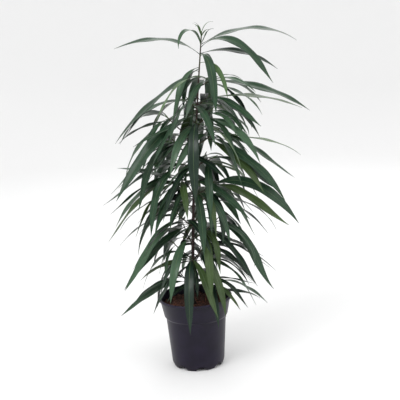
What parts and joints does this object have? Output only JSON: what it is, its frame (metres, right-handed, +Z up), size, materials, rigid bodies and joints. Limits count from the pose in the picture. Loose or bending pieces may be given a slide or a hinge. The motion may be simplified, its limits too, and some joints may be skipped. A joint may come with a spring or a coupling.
{
  "type": "potted ficus tree",
  "caption": "Young alii ficus in a round black nursery pot: one slender leaning trunk with side shoots of long, narrow, drooping leaves.",
  "frame": {"origin": "centre of the pot's flat underside, on the surface that it stands on", "axes": "+Z up along the plant; -Y is the side seen first; +X is that side's right"},
  "size_m": [0.4676, 0.3177, 0.768],
  "materials": {
    "pot": "satin",
    "soil": "rough",
    "bark": "matte",
    "foliage": "satin"
  },
  "bodies": {
    "root": {"pot": "pot", "soil": "soil", "trunk": "bark", "foliage_top": "foliage", "foliage_right_1": "foliage", "foliage_right_2": "foliage", "foliage_right_3": "foliage", "foliage_right_4": "foliage", "foliage_right_5": "foliage", "foliage_right_6": "foliage", "foliage_right_7": "foliage", "foliage_right_8": "foliage", "foliage_right_9": "foliage", "foliage_right_10": "foliage", "foliage_left_1": "foliage", "foliage_left_2": "foliage", "foliage_left_3": "foliage", "foliage_left_4": "foliage", "foliage_left_5": "foliage", "foliage_left_6": "foliage", "foliage_left_7": "foliage", "foliage_left_8": "foliage", "foliage_left_9": "foliage", "foliage_left_10": "foliage", "foliage_left_11": "foliage", "foliage_front_1": "foliage", "foliage_front_2": "foliage", "foliage_front_3": "foliage", "foliage_back_1": "foliage", "foliage_back_2": "foliage", "foliage_back_3": "foliage", "foliage_back_4": "foliage", "foliage_back_5": "foliage", "foliage_back_6": "foliage", "foliage_back_7": "foliage", "foliage_back_8": "foliage"}
  },
  "joints": []
}
